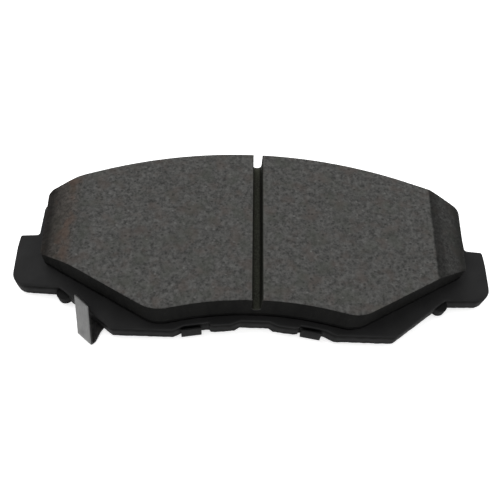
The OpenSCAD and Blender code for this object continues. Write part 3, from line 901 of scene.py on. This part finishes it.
# The strip's sizes, as in the CAD: where the foot's neck and flare turn is measured from its bend
STRIP_WIDTH = 5.6 * MM
STRIP_RUN = 16.7 * MM
STRIP_TURN = math.radians(-39)
BEND_RADIUS = 1.2 * MM
BEND_START = 0.54 * MM
TAB_LEAN = math.radians(32)
TAB_LENGTH = 10.5 * MM
TAB_SKEW = 5.1 * MM
NECK_IN = 1.2 * MM
NECK_AT = (1.2 * MM, 5 * MM, 13 * MM)
FLARE_OUT = 2.3 * MM
FLARE_AT = (1.2 * MM, 4.6 * MM, 9 * MM, 12.5 * MM)


def wear_indicator():
    """The squeal strip, cut flat as the press blanks it, then bent. Lengths run from the bend to the tip."""
    z_low, _ = heights("wear_indicator")
    thick = heights("backing_plate")[0] - z_low
    low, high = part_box("indicator_rivet")
    rivet = (low + high) / 2
    hole_radius = 1.55 * MM
    half = STRIP_WIDTH / 2
    bend = math.pi / 2 + TAB_LEAN
    neutral = BEND_RADIUS - thick / 2
    bend_length = neutral * bend
    hole_at = -(STRIP_RUN - BEND_START)
    round_end = [(-half * math.cos(a), hole_at - half * math.sin(a))
                 for a in np.radians(np.arange(0, 181, 9))]
    tip_at = bend_length + TAB_LENGTH
    neck = [(half - NECK_IN, BEND_START - NECK_AT[2]), (half - NECK_IN, BEND_START - NECK_AT[1]),
            (half, BEND_START - NECK_AT[0])]
    blank = [(half, 0), (half, bend_length), (half - TAB_SKEW, tip_at),
             (-half - TAB_SKEW, tip_at), (-half, bend_length), (-half, 0)]
    flare = [(-half - out, BEND_START - at) for out, at in zip((0, FLARE_OUT, FLARE_OUT, 0), FLARE_AT)]
    outline = smoothed(np.array(round_end + neck + blank + flare), 0.35 * MM)
    hole = np.array([(hole_radius * math.sin(a), hole_at + hole_radius * math.cos(a))
                     for a in np.radians(np.arange(0, 360, 10))])
    solid = Solid()
    ends_low, ends_high = [], []
    for loop in (outline, hole):
        levels = [(0.13, 0.0), (0.03, 0.04), (0.0, 0.14), (0.0, 0.55), (0.03, 0.74), (0.07, 0.8)]
        scale = thick / (0.8 * MM)
        rings = []
        for amount, up in levels:
            burr = [max(0.0, amount + 0.03 * noise_at(u, v, up * MM, 0.6 * MM)) * MM for u, v in loop]
            rings.append(ring(inset(loop, np.array(burr)), up * scale * MM))
        solid.wall(rings)
        ends_low.append(rings[0][:, :2])
        ends_high.append(rings[-1][:, :2])
    solid.cap(ends_low, lambda u, v: 0.0, 0.45 * MM, up=False)
    solid.cap(ends_high, lambda u, v: thick, 0.45 * MM, up=True)
    # everything but the tab's outer face and tip takes the dark steel, which is painted shade on the foot and
    # inner side
    for face in solid.bm.faces:
        _, v, w = face.calc_center_median()
        clear_of_painted_shade = v > tip_at - 0.05 * MM or (v > -0.3 * MM and w < 0.2 * thick)
        face.material_index = 0 if clear_of_painted_shade else 1

    def bent(u, v, w):
        """Where a point of the flat blank comes to lie once the strip is bent and riveted down."""
        turn = min(max(v / neutral, 0.0), bend)
        reach = BEND_RADIUS - w
        beyond = max(v - bend_length, 0.0)
        along = BEND_START - min(v, 0.0) - reach * math.sin(turn) + beyond * math.sin(TAB_LEAN)
        up = BEND_RADIUS - reach * math.cos(turn) + beyond * math.cos(TAB_LEAN)
        back = along - STRIP_RUN
        return (rivet.x + u * math.cos(STRIP_TURN) - back * math.sin(STRIP_TURN),
                rivet.y + u * math.sin(STRIP_TURN) + back * math.cos(STRIP_TURN),
                z_low + up)

    solid.placed(bent)
    steel = brushed_steel("spring_steel", (0.105, 0.105, 0.105), (0.168, 0.168, 0.166), STRIP_TURN, 0.42)
    piece = solid.finish("squeal_indicator", [steel, painted_shade_steel()])
    stands_for(piece, "wear_indicator")


def indicator_rivet():
    """The countersunk rivet, with its tail formed over the strip in a shallow ringed dome."""
    z_low, z_high = heights("indicator_rivet")
    low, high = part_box("indicator_rivet")
    centre = (low + high) / 2
    strip_top = heights("backing_plate")[0]
    strip_under = heights("wear_indicator")[0]
    shank, tail, head = 1.5 * MM, 2.5 * MM, (high.x - low.x) / 2
    lap = strip_under - z_low
    profile = [(0.25, 0.20 * lap), (0.50, 0.24 * lap), (0.75, 0.12 * lap), (1.00, 0.0), (1.40, 0.0),
               (1.80, 0.05 * lap), (2.10, 0.22 * lap), (2.30, 0.52 * lap), (2.38, 0.80 * lap)]
    profile = [(r * MM, z_low + up) for r, up in profile]
    profile += [(tail - 0.15 * MM, strip_under), (shank, strip_under), (shank, strip_top)]
    profile += [(shank, z_high - (head - shank)), (head - 0.06 * MM, z_high - 0.08 * MM),
                (head - 0.12 * MM, z_high), (0.25 * MM, z_high)]
    turns = np.radians(np.arange(0, 360, 7.5))
    around = np.column_stack([np.cos(turns), np.sin(turns)])
    middle = np.array(centre[:2])
    rings = [ring(middle + r * around, z) for r, z in profile]
    solid = Solid()
    solid.wall(rings)
    for end, up in ((rings[0], False), (rings[-1], True)):
        solid.cap([end[:, :2]], lambda x, y, z=end[0][2]: z, 1 * MM, up=up)
    steel = brushed_steel("rivet_steel", (0.20, 0.20, 0.20), (0.33, 0.33, 0.32), 0.4, 0.42)
    piece = solid.finish("peened_rivet", [steel])
    stands_for(piece, "indicator_rivet")


# ---------------------------------------------------------------- camera, floor and light

def camera():
    """A close view from about 59 degrees above, a little to the left, with a small roll."""
    azimuth, elevation, roll = math.radians(-5.23), math.radians(59.34), math.radians(6.68)
    back = Vector((math.sin(azimuth) * math.cos(elevation), -math.cos(azimuth) * math.cos(elevation),
                   math.sin(elevation)))
    level = Vector((math.cos(azimuth), math.sin(azimuth), 0))
    upright = level.cross(-back)
    right = math.cos(roll) * level + math.sin(roll) * upright
    up = math.cos(roll) * upright - math.sin(roll) * level
    data = bpy.data.cameras.new("camera")
    data.sensor_width = 36
    data.lens = 44.4
    data.clip_start = 0.01
    eye = bpy.data.objects.new("camera", data)
    target = Vector((-1.41, 2.85, 1.3)) * MM
    place = target + 198.6 * MM * back
    eye.matrix_world = Matrix.Translation(place) @ Matrix((right, up, back)).transposed().to_4x4()
    bpy.context.scene.collection.objects.link(eye)
    bpy.context.scene.camera = eye


def floor():
    """A plain pale floor just under the pad."""
    s = Shader("pale_floor", Roughness=0.9, Specular_IOR_Level=0.1,
               Emission_Color=(1, 1, 1), Emission_Strength=0.6)
    cloud = s.noise(60 * MM, detail=2)
    s.set("Base Color", s.blend(cloud, (0.86, 0.86, 0.86), (0.88, 0.88, 0.88)))
    mesh = bpy.data.meshes.new("floor")
    reach = 3.0
    z = cad_box[0].z - 0.05 * MM
    mesh.from_pydata([(-reach, -reach, z), (reach, -reach, z), (reach, reach, z), (-reach, reach, z)], [],
                     [(0, 1, 2, 3)])
    mesh.materials.append(s.material)
    made = bpy.data.objects.new("floor", mesh)
    bpy.context.scene.collection.objects.link(made)


def softbox(name, place, size, power):
    """An area light at place that faces the pad."""
    data = bpy.data.lights.new(name, "AREA")
    data.shape = "RECTANGLE"
    data.size, data.size_y = size
    data.energy = power
    made = bpy.data.objects.new(name, data)
    made.location = place
    made.rotation_euler = (Vector((0, 0, 0)) - Vector(place)).to_track_quat("-Z", "Y").to_euler()
    bpy.context.scene.collection.objects.link(made)


def studio():
    """A large soft key from the upper left, and a pale surround that is dimmer behind the camera."""
    softbox("key", (-0.25, 0.40, 0.85), (0.8, 0.8), 6.3)
    world = bpy.data.worlds.new("studio")
    world.use_nodes = True
    tree = world.node_tree
    way = tree.nodes.new("ShaderNodeSeparateXYZ")
    tree.links.new(tree.nodes.new("ShaderNodeTexCoord").outputs["Generated"], way.inputs["Vector"])
    dimmer = tree.nodes.new("ShaderNodeMapRange")
    for key, number in (("From Min", -0.9), ("From Max", 0.3), ("To Min", 0.62), ("To Max", 1.0)):
        dimmer.inputs[key].default_value = number
    tree.links.new(way.outputs["Y"], dimmer.inputs["Value"])
    tree.links.new(dimmer.outputs["Result"], tree.nodes["Background"].inputs["Strength"])
    tree.nodes["Background"].inputs["Color"].default_value = (1, 1, 1, 1)
    bpy.context.scene.world = world
    bpy.context.scene.view_settings.view_transform = "Standard"


camera()
floor()
studio()
backing_plate()
friction_lining()
underlayer()
friction_bond()
damping_shim()
cover_shim()
wear_indicator()
indicator_rivet()
